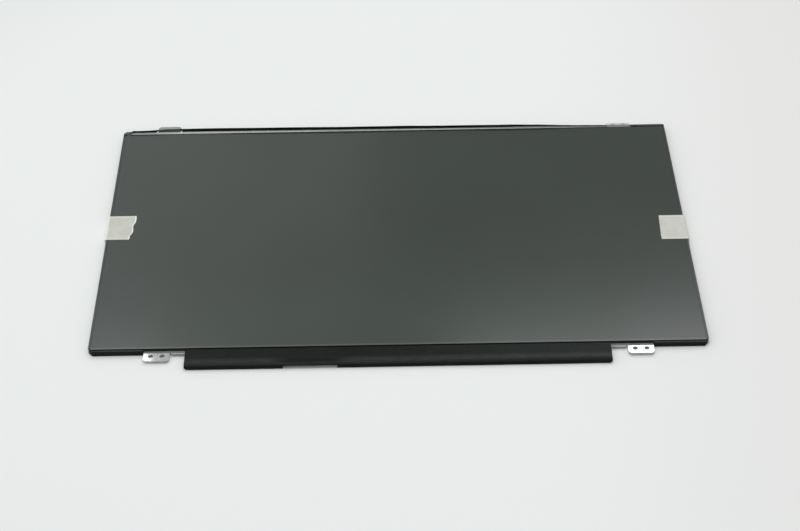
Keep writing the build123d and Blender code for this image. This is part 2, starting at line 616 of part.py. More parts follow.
def holding_tape(side, lower_y, tear):
    """A short paper tape on the face, with its outer end folded down past the panel's edge."""
    step = HOLDING_WIDTH / (len(tear) - 1)
    inner = [(EDGE_X - reach, lower_y + i * step) for i, reach in enumerate(tear)]
    outline = Polygon(*inner, (EDGE_X, lower_y + HOLDING_WIDTH), (EDGE_X, lower_y), align=None)
    tape = Pos(0, 0, FACE_TOP) * extrude(outline, PAPER_TAPE, dir=(0, 0, 1))
    fold_z = FACE_TOP + PAPER_TAPE - HOLDING_FOLD
    roll = Cylinder(HOLDING_FOLD, HOLDING_WIDTH) - Cylinder(HOLDING_FOLD - PAPER_TAPE, HOLDING_WIDTH)
    fold = Pos(EDGE_X, lower_y + HOLDING_WIDTH / 2, fold_z) * Rot(X=90) * roll
    fold_end = EDGE_X + HOLDING_FOLD
    fold &= block(EDGE_X, fold_end, lower_y, lower_y + HOLDING_WIDTH, fold_z, FACE_TOP + PAPER_TAPE)
    drop_z = FACE_TOP + PAPER_TAPE - HOLDING_DROP
    drop = block(fold_end - PAPER_TAPE, fold_end, lower_y, lower_y + HOLDING_WIDTH, drop_z, fold_z)
    tape = tape + fold + drop
    return tape if side > 0 else mirror(tape, about=Plane.YZ)


pieces = {
    "rear_chassis": rear_chassis(),
    "mold_frame": mold_frame(),
    "reflector_sheet": sheet(SHEET_X, GUIDE_Y, SHEET_TOP_Y, CHASSIS_SHEET, REFLECTOR_SHEET),
    "light_guide_plate": sheet(SHEET_X, GUIDE_Y, SHEET_TOP_Y, GUIDE_BOTTOM, GUIDE_PLATE),
    "lower_diffuser_sheet": light_sheet(GUIDE_TOP, DIFFUSER_SHEET),
    "lower_prism_sheet": light_sheet(LOWER_PRISM_BOTTOM, PRISM_SHEET),
    "upper_prism_sheet": light_sheet(UPPER_PRISM_BOTTOM, PRISM_SHEET),
    "upper_diffuser_sheet": light_sheet(UPPER_DIFFUSER_BOTTOM, DIFFUSER_SHEET),
    "led_flex_strip": led_flex_strip(),
    "leds": leds(),
    "light_shield_tape": light_shield_tape(),
    "rear_polarizer": rear_polarizer(),
    "tft_glass": tft_glass(),
    "color_filter_glass": cell_layer(FACE_BELOW, FILTER_BOTTOM, CELL_GLASS),
    "front_polarizer": cell_layer(FACE_BELOW, FRONT_FILM_BOTTOM, POLARIZER_FILM),
    "circuit_board": circuit_board(),
    "timing_chip": chip(TIMING_CHIP_X, TIMING_CHIP),
    "power_chip": chip(POWER_CHIP_X, POWER_CHIP),
    "backlight_chip": chip(BACKLIGHT_CHIP_X, BACKLIGHT_CHIP),
    "backlight_coil": backlight_coil(),
    "board_capacitors": board_capacitors(),
    "signal_socket_housing": signal_socket_housing(),
    "signal_socket_shell": signal_socket_shell(),
    "signal_socket_contacts": signal_socket_contacts(),
    "backlight_socket": backlight_socket(),
    "board_cover_tape": board_cover_tape(),
    "left_edge_tape": edge_tape(-1),
    "right_edge_tape": edge_tape(1),
    "top_edge_tape": top_edge_tape(),
    "left_holding_tape": holding_tape(-1, LEFT_HOLDING_Y, LEFT_TEAR),
    "right_holding_tape": holding_tape(1, RIGHT_HOLDING_Y, RIGHT_TEAR),
}
for name, x in (("left", -DRIVER_FILM_X), ("middle", 0), ("right", DRIVER_FILM_X)):
    pieces[name + "_driver_film"] = driver_film(x)
    pieces[name + "_driver_chip"] = driver_chip(x)

os.makedirs("parts", exist_ok=True)
for name, shape in pieces.items():
    export_step(Pos(0, -MIDDLE_Y, 0) * shape, "parts/" + name + ".step")
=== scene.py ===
from math import cos, pi, radians, sin

import bpy
from mathutils import Matrix, Vector, noise


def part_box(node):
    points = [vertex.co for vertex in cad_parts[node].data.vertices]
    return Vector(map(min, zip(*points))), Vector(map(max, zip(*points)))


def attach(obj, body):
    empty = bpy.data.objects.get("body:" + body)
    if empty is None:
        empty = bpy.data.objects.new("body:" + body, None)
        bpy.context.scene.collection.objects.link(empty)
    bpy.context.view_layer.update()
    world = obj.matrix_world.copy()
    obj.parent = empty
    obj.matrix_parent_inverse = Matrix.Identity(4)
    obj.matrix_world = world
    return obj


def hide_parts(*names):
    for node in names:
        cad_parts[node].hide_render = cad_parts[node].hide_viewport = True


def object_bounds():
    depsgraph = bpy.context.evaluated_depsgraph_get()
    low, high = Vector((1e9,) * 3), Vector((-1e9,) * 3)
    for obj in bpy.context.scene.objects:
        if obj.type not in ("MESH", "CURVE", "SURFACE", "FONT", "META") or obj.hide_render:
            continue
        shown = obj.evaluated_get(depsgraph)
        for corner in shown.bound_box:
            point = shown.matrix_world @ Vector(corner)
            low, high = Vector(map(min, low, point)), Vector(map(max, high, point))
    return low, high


# A laptop screen panel lying face up on a pale table, seen from its lower edge.
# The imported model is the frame. The board's tape, the top tape and the papers are remade as creased sheets.

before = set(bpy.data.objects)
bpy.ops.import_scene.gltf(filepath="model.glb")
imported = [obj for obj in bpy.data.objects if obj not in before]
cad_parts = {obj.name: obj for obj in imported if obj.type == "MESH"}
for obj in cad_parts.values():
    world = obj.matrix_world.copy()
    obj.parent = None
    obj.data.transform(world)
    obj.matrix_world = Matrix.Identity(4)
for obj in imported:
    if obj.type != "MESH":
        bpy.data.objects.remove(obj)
cad_low, cad_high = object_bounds()
MM = 0.001

# Camera, in millimetres and degrees, for a picture 800 pixels wide
PICTURE_WIDTH = 800
FOCAL_PIXELS = 1885.0
SENSOR_WIDTH = 36.0
CAMERA_PLACE = (-3.885, -815.965, 652.714)
CAMERA_YAW = 0.40003
CAMERA_PITCH = 39.49383
CAMERA_ROLL = -0.71197
CLIP_START = 0.01

# Stage and light
FLOOR_SIZE = 12.0
# The floor's edge and right-hand colours are painted light: shade away from the panel, and a warmer, dimmer
# light on the right
FLOOR_MIDDLE = (235, 237, 237)
FLOOR_SHADED_EDGE = (224, 226, 226)
FLOOR_LIT_RIGHT = (230, 229, 228)
WORLD_LEFT = 0.78
WORLD_RIGHT = 0.46
WORLD_PASSAGE = (-0.4, 0.4)
WORLD_TINT = (0.985, 1.0, 0.99, 1)
# An area lamp's watts for each unit of radiance and square metre
WATTS_PER_RADIANCE = 4
# Soft boxes in a plane behind the panel: a point (x, z) of the edge that the face mirrors, the way and length
# of that edge, the box's depth and its radiance
LIGHT_PLANE_Y = 1.2
EDGED_BOXES = {
    "left_box": ((-0.3165, 1.2836), (0.32, 0.947), 0.25, 0.25, 2.8),
    "right_box": ((0.336, 1.48), (0, -1), 0.7, 0.66, 2.6),
    "upper_box": ((0.1, 1.4), (0, -1), 0.4, 0.236, 2.8),
}
SIDE_BOX_EDGES = (-0.19, -0.02)
SIDE_BOX_MIDDLE_Z = 0.69
SIDE_BOX_LENGTH = 0.88
SIDE_BOX_DEPTH = 1.0
SIDE_BOX_RADIANCE = 0.22
TOP_BOX_RADIANCE = 3.2
TOP_BOX_SIZE = 1.0
TOP_BOX_PLACE = (-0.1, 0.1, 2.0)

# Sheets
TAPE_SHEET = 0.1 * MM
PAPER_SHEET = 0.12 * MM
ARC_STEPS = 8
SHARP_DEGREES = 40

# The tape over the board
COVER_FOLD = 0.6 * MM
COVER_SLOPE = 3.8 * MM
COVER_SAG = 0.55 * MM
LIP_CORNER = 1.2 * MM
NOTCH_WIDTH = 28.0 * MM
# Its waves, which fade out near the glass and the two ends; each has a size, a seed and a weight
COVER_WAVE = 0.035 * MM
COVER_WAVES = ((9 * MM, 1.7, 0.6), (26 * MM, 5.2, 1.0))
WAVE_DROP = 0.4
LEVEL_NEAR_GLASS = 2 * MM
LEVEL_NEAR_END = 3 * MM
LIP_WAVE = 0.03 * MM
LIP_WAVE_SIZE = 12 * MM
LIP_WAVE_SEED = 8.4
LIP_DROP = 0.6
# Mesh steps left of the notch, across it and right of it, and the rows of the fold that the notch leaves
COVER_STEPS = (128, 56, 308)
FOLD_IN_NOTCH = 5
COVER_ROWS = 12
LIP_ROWS = 5

# The loose edge of the top tape: its length, and its angle in degrees at shares of the way from left to right
TOP_FLAP = 2.2 * MM
FLAP_RISE = ((0, 62), (0.021, 62), (0.035, 64), (0.08, 86), (0.17, 88), (0.23, 84), (0.32, 88), (0.42, 82),
             (0.51, 85), (0.6, 88), (0.7, 76), (0.76, 58), (0.81, 46), (0.85, 37), (0.9, 26), (1, 14))
FLAP_CURL = 10
FLAP_CURL_SIZE = 21 * MM
FLAP_CURL_SEED = 3.3
# How far it still sticks to the rail, in millimetres, before it stands up, at shares of the way
FLAP_STUCK = ((0, 0), (0.12, 0), (0.23, 0.2), (0.32, 0.5), (0.42, 0.65), (0.51, 0.7), (0.6, 0.9), (0.7, 0.7),
              (0.76, 0.3), (0.82, 0))
TAPE_ON_TOP = 2.85 * MM
# Its left end, which is bent over and laid down on the corner
LAID_END = 1.6 * MM
CORNER_OVERHANG = 1.7 * MM
LAID_BEND = 70
LAID_FROM = 0.32
LAID_EASE = 2 * MM
# The top wall with its rail and tabs, and the mesh along it
TOP_STEP = 1.2 * MM
WALL_ROWS = 3
FLAP_ROWS = 6
TOP_WALL = 0.2 * MM
RAIL_TOP = 3.3 * MM
RAIL_SHEET = 0.3 * MM
TAB_WIDTH = 13.5 * MM
TAB_PLAY = 0.2 * MM
UPPER_TAB_X = 133.2 * MM
SLIT_WIDTH = 0.9 * MM
SLIT_HEIGHT = 0.7 * MM

SIDE_TAPES = ("left_edge_tape", "right_edge_tape")

# The paper tapes: reach in from the panel's edge at even steps from the lower to the upper corner
LEFT_TEAR = (12.5, 12.9, 12.9, 13.8, 14.3, 14.2, 13.9, 14.0, 14.5, 15.0, 15.15, 15.15, 14.9)
RIGHT_TEAR = (14.3, 14.4, 14.25, 14.1, 13.9, 13.8, 13.6)
RIGHT_PAPER_SHIFT = 0.75 * MM
PAPER_FOLD = 0.9 * MM
# Dents on the face, waves on the folded end and the frayed tear; of two sizes, the finer counts less
PAPER_DENT = 0.036 * MM
PAPER_DENT_SIZES = (3.2 * MM, 1.1 * MM)
PAPER_SWING = 0.06 * MM
PAPER_SWING_SIZE = 2.4 * MM
TEAR_FRAY = 0.12 * MM
FRAY_SIZES = (0.9 * MM, 0.35 * MM)
FRAY_DROP = 0.5
FINER_SHARE = 0.6
LEFT_PAPER_SEED = 2.5
RIGHT_PAPER_SEED = 11.5
PAPER_COLUMNS = 84
PAPER_ROWS = 40
DROP_ROWS = 6
# Rows of a torn paper's mesh that show its pale inside
EDGING_ROWS = 2

# Where painted light, painted shade and other tones begin and end in the materials
ZONE_EDGE = 1 * MM
FILM_PALER_HEIGHT = 75 * MM
FILM_PALER_ASIDE = (95 * MM, 145 * MM)
# The band along the film's cut lower edge that gets a painted highlight
FILM_EDGE_HIGHLIGHT = (0.2 * MM, 1.7 * MM)
# The painted highlight on the sloped front fold of the board's tape: where it starts, ends, and stops beside
# the notch
FOLD_HIGHLIGHT_START = (0.9 * MM, 2.6 * MM)
FOLD_HIGHLIGHT_END = (2.6 * MM, 6.5 * MM)
FOLD_HIGHLIGHT_FROM_NOTCH = (-4 * MM, 8 * MM)
TOP_TAPE_DEPTH = 4 * MM
RAIL_END = (0.3 * MM, 0.6 * MM)
# Painted highlights along the paper tapes' cut lower and upper edges
LOWER_RIM_HIGHLIGHT = (0.6 * MM, 2.4 * MM)
UPPER_RIM_HIGHLIGHT = (-2.2 * MM, -0.6 * MM)
PANEL_RIM = (-0.5 * MM, 0.5 * MM)
# Up-facing faces of the black plastic, which get a painted sheen
FACES_UP = (0.6, 0.95)
# Where the floor's painted light on the right and its painted shade away from the panel begin and end
FLOOR_LIT_RIGHT_SPAN = (0.05, 0.28)
FLOOR_SHADE_SPAN = (0.25, 0.5)
# The part of a noise's range over which one tone goes over into another
TONE_RANGE = (0.3, 0.7)


def linear(colour):
    """A colour given as screen values from 0 to 255, as light."""
    shares = [value / 255 for value in colour]
    return [s / 12.92 if s <= 0.04045 else ((s + 0.055) / 1.055) ** 2.4 for s in shares]


def add_camera():
    yaw, pitch, roll = radians(CAMERA_YAW), radians(CAMERA_PITCH), radians(CAMERA_ROLL)
    forward = Vector((sin(yaw) * cos(pitch), cos(yaw) * cos(pitch), -sin(pitch)))
    level = Vector((cos(yaw), -sin(yaw), 0))
    upward = level.cross(forward)
    right = cos(roll) * level + sin(roll) * upward
    up = cos(roll) * upward - sin(roll) * level
    data = bpy.data.cameras.new("camera")
    data.sensor_width = SENSOR_WIDTH
    data.lens = FOCAL_PIXELS / PICTURE_WIDTH * SENSOR_WIDTH
    data.clip_start = CLIP_START
    camera = bpy.data.objects.new("camera", data)
    turn = Matrix((right, up, -forward)).transposed().to_4x4()
    camera.matrix_world = Matrix.Translation(Vector(CAMERA_PLACE) * MM) @ turn
    bpy.context.scene.collection.objects.link(camera)
    bpy.context.scene.camera = camera


def node(tree, kind, settings=None, **inputs):
    """Adds a shader node; an input that is a socket is linked, and any other is set."""
    made = tree.nodes.new(kind)
    for name, value in (settings or {}).items():
        setattr(made, name, value)
    for name, value in inputs.items():
        socket = made.inputs[int(name[1:]) if name[1:].isdigit() else name.replace("_", " ")]
        if isinstance(value, bpy.types.NodeSocket):
            tree.links.new(value, socket)
        else:
            socket.default_value = value
    return made


def new_material(name):
    """An empty material with its surface shader, and the object's own coordinates in metres."""
    made = bpy.data.materials.new(name)
    made.use_nodes = True
    tree = made.node_tree
    surface = tree.nodes["Principled BSDF"]
    place = node(tree, "ShaderNodeTexCoord").outputs["Object"]
    return made, tree, surface, place


def stretched(tree, place, scale):
    return node(tree, "ShaderNodeMapping", Vector=place, Scale=scale).outputs["Vector"]


def grain(tree, place, per_metre, detail=3.0):
    """Soft random patches, so many to the metre, from 0 to 1."""
    return node(tree, "ShaderNodeTexNoise", Vector=place, Scale=per_metre, Detail=detail).outputs["Fac"]


def two_tones(tree, share, dark, light):
    """One colour going over into another in the middle of a share from 0 to 1."""
    made = node(tree, "ShaderNodeValToRGB", Fac=share)
    for point, place, colour in zip(made.color_ramp.elements, TONE_RANGE, (dark, light)):
        point.position = place
        point.color = (*linear(colour), 1)
    return made.outputs["Color"]


def spread(tree, share, low, high, start=TONE_RANGE[0], end=TONE_RANGE[1]):
    """A smooth passage from low to high while a value goes from start to end."""
    settings = {"interpolation_type": "SMOOTHSTEP"}
    made = node(tree, "ShaderNodeMapRange", settings, Value=share, From_Min=start, From_Max=end,
                To_Min=low, To_Max=high)
    return made.outputs["Result"]


def rising(tree, value, start, end):
    """0 before start and 1 after end."""
    return spread(tree, value, 0.0, 1.0, start, end)


def falling(tree, value, start, end):
    """1 before start and 0 after end."""
    return spread(tree, value, 1.0, 0.0, start, end)


def reckon(tree, operation, *values):
    """What one of the shader's sums makes of sockets or numbers."""
    inputs = {"_%d" % i: value for i, value in enumerate(values)}
    return node(tree, "ShaderNodeMath", {"operation": operation}, **inputs).outputs["Value"]


def coordinates(tree, vector):
    """The x, y and z of a vector."""
    return node(tree, "ShaderNodeSeparateXYZ", Vector=vector).outputs


def offset(place, distances):
    """Two places at distances from another."""
    return [place + distance for distance in distances]


def blend(tree, share, first, second):
    """One colour under another by a share."""
    return node(tree, "ShaderNodeMix", {"data_type": "RGBA"}, _0=share, _6=first, _7=second).outputs[2]


def raise_surface(tree, surface, height, strength, depth):
    made = node(tree, "ShaderNodeBump", Height=height, Strength=strength, Distance=depth)
    tree.links.new(made.outputs["Normal"], surface.inputs["Normal"])


def finish(name, dark, light, rough, patches, fine, bump=0.2, stretch=(1, 1, 1), **fixed):
    """A material with patches of two close colours, fine grain in its gloss, and a little relief.

    Roughness is a range, and patches and fine grain are counted to the metre."""
    made, tree, surface, place = new_material(name)
    along = stretched(tree, place, stretch)
    fine_grain = grain(tree, along, fine)
    colour = two_tones(tree, grain(tree, along, patches), dark, light)
    tree.links.new(colour, surface.inputs["Base Color"])
    tree.links.new(spread(tree, fine_grain, *rough), surface.inputs["Roughness"])
    raise_surface(tree, surface, fine_grain, bump, 0.05 * MM)
    for socket, value in fixed.items():
        surface.inputs[socket.replace("_", " ")].default_value = value
    return made


def reopened(made):
    """The tree, shader, colour and coordinates of a finish that gets more layers."""
    tree = made.node_tree
    surface = tree.nodes["Principled BSDF"]
    colour = surface.inputs["Base Color"].links[0].from_socket
    place = node(tree, "ShaderNodeTexCoord").outputs["Object"]
    return tree, surface, colour, place


def floor_paper():
    """Pale paper, darkened by painted shade away from the panel and made a little warmer and dimmer on the
    right by painted light.
    """
    made, tree, surface, place = new_material("floor_paper")
    fine = grain(tree, place, 900)
    away = node(tree, "ShaderNodeVectorMath", {"operation": "LENGTH"}, _0=place).outputs["Value"]
    middle, edge, right = [two_tones(tree, fine, [c - 1 for c in tone], tone)
                           for tone in (FLOOR_MIDDLE, FLOOR_SHADED_EDGE, FLOOR_LIT_RIGHT)]
    x, y, z = coordinates(tree, place)
    # Painted light and shade: warmer and dimmer to the right, darker away from the panel
    colour = blend(tree, rising(tree, x, *FLOOR_LIT_RIGHT_SPAN), middle, right)
    colour = blend(tree, rising(tree, away, *FLOOR_SHADE_SPAN), colour, edge)
    tree.links.new(colour, surface.inputs["Base Color"])
    tree.links.new(spread(tree, fine, 0.85, 0.95), surface.inputs["Roughness"])
    surface.inputs["Specular IOR Level"].default_value = 0.1
    return made


def add_stage():
    """A pale floor under the panel, a pale room round it, and soft boxes behind and over it."""
    bpy.context.scene.view_settings.view_transform = "Standard"
    bpy.ops.mesh.primitive_plane_add(size=FLOOR_SIZE)
    floor = bpy.context.object
    floor.name = "floor"
    floor.location.z = cad_low.z
    floor.data.materials.append(floor_paper())

    world = bpy.data.worlds.new("room")
    bpy.context.scene.world = world
    world.use_nodes = True
    tree = world.node_tree
    background = tree.nodes["Background"]
    direction = node(tree, "ShaderNodeTexCoord").outputs["Generated"]
    x, y, z = coordinates(tree, direction)
    level = spread(tree, x, WORLD_LEFT, WORLD_RIGHT, *WORLD_PASSAGE)
    tree.links.new(level, background.inputs["Strength"])
    background.inputs["Color"].default_value = WORLD_TINT

    for name, box in EDGED_BOXES.items():
        edged_box(name, *box)
    for i, edge_x in enumerate(SIDE_BOX_EDGES):
        edged_box("side_box_%d" % i, (edge_x, SIDE_BOX_MIDDLE_Z), (0, 1), SIDE_BOX_LENGTH, SIDE_BOX_DEPTH,
                  SIDE_BOX_RADIANCE)
    turn = Vector(TOP_BOX_PLACE).to_track_quat("Z", "Y").to_matrix().to_4x4()
    top_place = Matrix.Translation(TOP_BOX_PLACE) @ turn
    soft_box("top_box", top_place, TOP_BOX_SIZE, TOP_BOX_SIZE, TOP_BOX_RADIANCE)


def soft_box(name, place, width, height, radiance):
    data = bpy.data.lights.new(name, "AREA")
    data.shape = "RECTANGLE"
    data.size = width
    data.size_y = height
    data.energy = WATTS_PER_RADIANCE * radiance * width * height
    lamp = bpy.data.objects.new(name, data)
    lamp.matrix_world = place
    bpy.context.scene.collection.objects.link(lamp)


def edged_box(name, edge_middle, edge_way, length, depth, radiance):
    """A soft box in the plane behind the panel, left of an edge that passes a point in a direction."""
    edge = Vector((edge_way[0], 0, edge_way[1])).normalized()
    inward = Vector((0, 1, 0))
    across = edge.cross(inward)
    middle = Vector((edge_middle[0], LIGHT_PLANE_Y, edge_middle[1])) + across * depth / 2
    turn = Matrix((across, edge, inward)).transposed().to_4x4()
    soft_box(name, Matrix.Translation(middle) @ turn, depth, length, radiance)


def screen_film():
    """Dark matt film with a fine haze in its gloss, paler low in the middle, and a painted highlight along
    its cut lower edge.
    """
    made, tree, surface, place = new_material("screen_film")
    x, y, z = coordinates(tree, place)
    low_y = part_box("front_polarizer")[0].y
    haze = grain(tree, place, 2600, 2.0)
    patches = grain(tree, place, 14)
    body = two_tones(tree, patches, (37, 46, 41), (41, 50, 45))
    pale_tone = two_tones(tree, patches, (46, 56, 50), (50, 60, 54))
    # Painted highlight along the film's cut lower edge
    edge_highlight = two_tones(tree, haze, (72, 76, 72), (84, 88, 83))
    aside = reckon(tree, "ABSOLUTE", x)
    # Paler low in the middle of the face
    paler_low = reckon(tree, "MULTIPLY", falling(tree, y, low_y, low_y + FILM_PALER_HEIGHT),
                   falling(tree, aside, *FILM_PALER_ASIDE))
    edge = falling(tree, y, *offset(low_y, FILM_EDGE_HIGHLIGHT))
    colour = blend(tree, edge, blend(tree, paler_low, body, pale_tone), edge_highlight)
    tree.links.new(colour, surface.inputs["Base Color"])
    tree.links.new(spread(tree, haze, 0.15, 0.19), surface.inputs["Roughness"])
    raise_surface(tree, surface, haze, 0.06, 0.02 * MM)
    return made


def black_plastic():
    """Black moulded plastic, paler where it faces up from a painted sheen."""
    made = finish("black_plastic", (12, 13, 12), (18, 19, 18), (0.5, 0.62), 120, 3800, bump=0.25,
                  Specular_IOR_Level=0.15)
    tree, surface, body, place = reopened(made)
    # Painted sheen: a paler tone on faces that look up
    pale_tone = two_tones(tree, grain(tree, place, 700), (46, 49, 47), (56, 59, 57))
    normal = node(tree, "ShaderNodeNewGeometry").outputs["True Normal"]
    x, y, upward = coordinates(tree, normal)
    colour = blend(tree, rising(tree, upward, *FACES_UP), body, pale_tone)
    tree.links.new(colour, surface.inputs["Base Color"])
    return made


def notch_middle():
    """The x of the notch in the board's tape, which is in front of the socket."""
    low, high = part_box("signal_socket_housing")
    return (low.x + high.x) / 2


def black_tape():
    """Black tape with a painted highlight along its front fold over the board and another where it lies over
    the left tab; paler at both top corners.
    """
    made = finish("black_tape", (9, 12, 10), (15, 18, 16), (0.24, 0.32), 90, 2600, bump=0.12,
                  Specular_IOR_Level=0.115, Specular_Tint=(0.9, 1.0, 0.93, 1))
    tree, surface, colour, place = reopened(made)
    x, y, z = coordinates(tree, place)
    mottle = grain(tree, stretched(tree, place, (0.4, 1, 1)), 420)
    # Painted highlight on the sloped, rounded front fold of the board's tape
    painted_fold_highlight = two_tones(tree, mottle, (36, 40, 36), (48, 52, 48))
    # A paler patch: a painted highlight over the left tab, where the tape catches the light, and the paler
    # laid-down left end
    pale_patch = two_tones(tree, mottle, (80, 83, 81), (92, 95, 93))
    pale_tone = two_tones(tree, mottle, (58, 61, 59), (66, 69, 67))

    front_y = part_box("board_cover_tape")[0].y
    from_notch = reckon(tree, "ABSOLUTE", reckon(tree, "SUBTRACT", x, notch_middle()))
    # The front band that gets the painted fold highlight, except beside the notch
    band = reckon(tree, "MULTIPLY", falling(tree, y, *offset(front_y, FOLD_HIGHLIGHT_END)),
                  rising(tree, y, *offset(front_y, FOLD_HIGHLIGHT_START)))
    beside_notch = rising(tree, from_notch, *offset(NOTCH_WIDTH / 2, FOLD_HIGHLIGHT_FROM_NOTCH))
    front = reckon(tree, "MULTIPLY", band, beside_notch)

    top_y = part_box("mold_frame")[1].y - TOP_TAPE_DEPTH
    on_top = rising(tree, y, top_y, top_y + ZONE_EDGE)
    tab_left, tab_right = offset(-UPPER_TAB_X, (-TAB_WIDTH / 2, TAB_WIDTH / 2))
    # Painted highlight where the tape over the left tab catches the light
    over_tab = reckon(tree, "MULTIPLY", rising(tree, x, tab_left, tab_left + ZONE_EDGE),
                      falling(tree, x, tab_right - ZONE_EDGE, tab_right))
    laid_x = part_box("top_edge_tape")[0].x + LAID_END
    left_end = falling(tree, x, laid_x, laid_x + ZONE_EDGE)
    corner_x = UPPER_TAB_X + TAB_WIDTH / 2
    right_corner = rising(tree, x, corner_x - ZONE_EDGE, corner_x + ZONE_EDGE)

    colour = blend(tree, front, colour, painted_fold_highlight)
    for zone, tone in ((over_tab, pale_patch), (left_end, pale_patch), (right_corner, pale_tone)):
        colour = blend(tree, reckon(tree, "MULTIPLY", on_top, zone), colour, tone)
    tree.links.new(colour, surface.inputs["Base Color"])
    return made


def light_metal():
    """Plated steel with a rolled grain; the top rail is pale, and painted shade darkens its left tab and
    right end.
    """
    made, tree, surface, place = new_material("light_metal")
    x, y, z = coordinates(tree, place)
    rolled = grain(tree, stretched(tree, place, (0.05, 1, 1)), 5200)
    mottle = grain(tree, place, 260)
    steel = two_tones(tree, mottle, (176, 178, 176), (188, 189, 187))
    coat = two_tones(tree, mottle, (200, 201, 198), (212, 213, 210))
    # Painted shade: a darker steel for the left tab and the rail's right end
    shaded_steel = two_tones(tree, mottle, (138, 140, 138), (150, 151, 149))

    rail_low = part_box("front_polarizer")[1].y
    rail_high = offset(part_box("mold_frame")[1].y, RAIL_END)
    coat_end = UPPER_TAB_X - TAB_WIDTH / 2
    on_rail = reckon(tree, "MULTIPLY", rising(tree, y, rail_low - ZONE_EDGE, rail_low),
                     falling(tree, y, *rail_high))
    left = falling(tree, x, coat_end - ZONE_EDGE, coat_end)
    right = rising(tree, x, coat_end - ZONE_EDGE, coat_end)
    coated = reckon(tree, "MULTIPLY", on_rail, left)
    # Painted shade on the rail right of the coat and on the left tab past the rail
    painted_shade = reckon(tree, "ADD", reckon(tree, "MULTIPLY", on_rail, right),
                    reckon(tree, "MULTIPLY", left, rising(tree, y, *rail_high)))

    colour = blend(tree, painted_shade, steel, shaded_steel)
    tree.links.new(blend(tree, coated, colour, coat), surface.inputs["Base Color"])
    tree.links.new(spread(tree, coated, 0.6, 0.0, 0.0, 1.0), surface.inputs["Metallic"])
    gloss = spread(tree, rolled, 0.03, 0.06)
    tree.links.new(reckon(tree, "MULTIPLY_ADD", coated, 0.4, gloss), surface.inputs["Roughness"])
    raise_surface(tree, surface, rolled, 0.01, 0.01 * MM)
    return made


def paper_tape(name, node_name, shift, lit_through_dark, lit_through_light):
    """Crepe paper: fibres, wrinkles, painted highlights along its cut edges, and painted light shining
    through it where it passes the panel's edge.
    """
    made, tree, surface, place = new_material(name)
    x, y, z = coordinates(tree, place)
    fibre = grain(tree, stretched(tree, place, (1, 0.35, 1)), 2400, 5.0)
    crepe = grain(tree, stretched(tree, place, (0.25, 1, 1)), 1500, 2.0)
    over_panel = two_tones(tree, fibre, (187, 189, 179), (203, 204, 195))
    paler = two_tones(tree, fibre, (202, 203, 195), (214, 214, 207))
    # Painted light: darker over the dark face, paler where the paper passes the panel's edge, as if lit
    # through
    lit_through_tone = two_tones(tree, fibre, lit_through_dark, lit_through_light)

    low_y, high_y = [corner.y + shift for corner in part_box(node_name)]
    # Painted highlights along the paper's cut lower and upper edges
    rim_highlights = reckon(tree, "ADD", falling(tree, y, *offset(low_y, LOWER_RIM_HIGHLIGHT)),
                  rising(tree, y, *offset(high_y, UPPER_RIM_HIGHLIGHT)))
    # Paler in random patches and where the painted rim highlights fall
    pale_patches_and_rim_highlights = reckon(tree, "MAXIMUM", rim_highlights, spread(tree, grain(tree, place, 170, 1.0), 0.0, 0.5, 0.4, 0.65))
    panel_edge = -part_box("left_edge_tape")[0].x
    # Where the paper passes the panel's edge and takes the painted lit-through tone
    past = rising(tree, reckon(tree, "ABSOLUTE", x), *offset(panel_edge, PANEL_RIM))
    colour = blend(tree, past, blend(tree, pale_patches_and_rim_highlights, over_panel, paler), lit_through_tone)
    tree.links.new(colour, surface.inputs["Base Color"])
    tree.links.new(spread(tree, fibre, 0.75, 0.9), surface.inputs["Roughness"])
    raise_surface(tree, surface, reckon(tree, "ADD", fibre, crepe), 0.35, 0.06 * MM)
    surface.inputs["Specular IOR Level"].default_value = 0.2
    return made


def make_finishes():
    """One material for each slot of the record."""
    return {
        "screen_film": screen_film(),
        "light_metal": light_metal(),
        # The left paper's last two colours are its painted lit-through tone past the panel's edge
        "paper_tape": paper_tape("paper_tape", "left_holding_tape", 0, (228, 229, 222), (240, 240, 235)),
        "black_plastic": black_plastic(),
        "white_film": finish("white_film", (226, 228, 229), (236, 238, 238), (0.4, 0.5), 60, 2500),
        "clear_plate": finish("clear_plate", (205, 214, 210), (214, 222, 218), (0.08, 0.14), 40, 900,
                              bump=0.02),
        "flex": finish("flex", (176, 120, 42), (190, 134, 54), (0.3, 0.4), 300, 2200),
        "led_body": finish("led_body", (236, 233, 212), (244, 241, 224), (0.35, 0.5), 900, 5000),
        "black_tape": black_tape(),
        "rear_film": finish("rear_film", (52, 58, 56), (58, 64, 61), (0.2, 0.3), 50, 1800, bump=0.05),
        "cell_glass": finish("cell_glass", (14, 16, 15), (20, 22, 21), (0.2, 0.3), 160, 2400,
                             bump=0.02, Specular_IOR_Level=0.2),
        "driver_film": finish("driver_film", (150, 92, 30), (168, 106, 38), (0.25, 0.36), 400, 2400),
        "chip": finish("chip", (24, 25, 26), (32, 33, 34), (0.45, 0.6), 700, 5200),
        "board": finish("board", (16, 44, 25), (24, 56, 32), (0.3, 0.42), 420, 3000),
        "ceramic_cap": finish("ceramic_cap", (150, 128, 104), (166, 142, 116), (0.35, 0.5), 1400, 6000),
        "socket_plastic": finish("socket_plastic", (74, 70, 60), (86, 81, 70), (0.4, 0.5), 500, 4200),
        "socket_steel": finish("socket_steel", (176, 177, 176), (196, 197, 196), (0.18, 0.3), 600, 5200,
                               bump=0.05, stretch=(0.1, 1, 1), Metallic=1.0),
        "contact_gold": finish("contact_gold", (214, 172, 84), (228, 188, 100), (0.16, 0.26), 900, 6000,
                               bump=0.03, Metallic=1.0),
    }


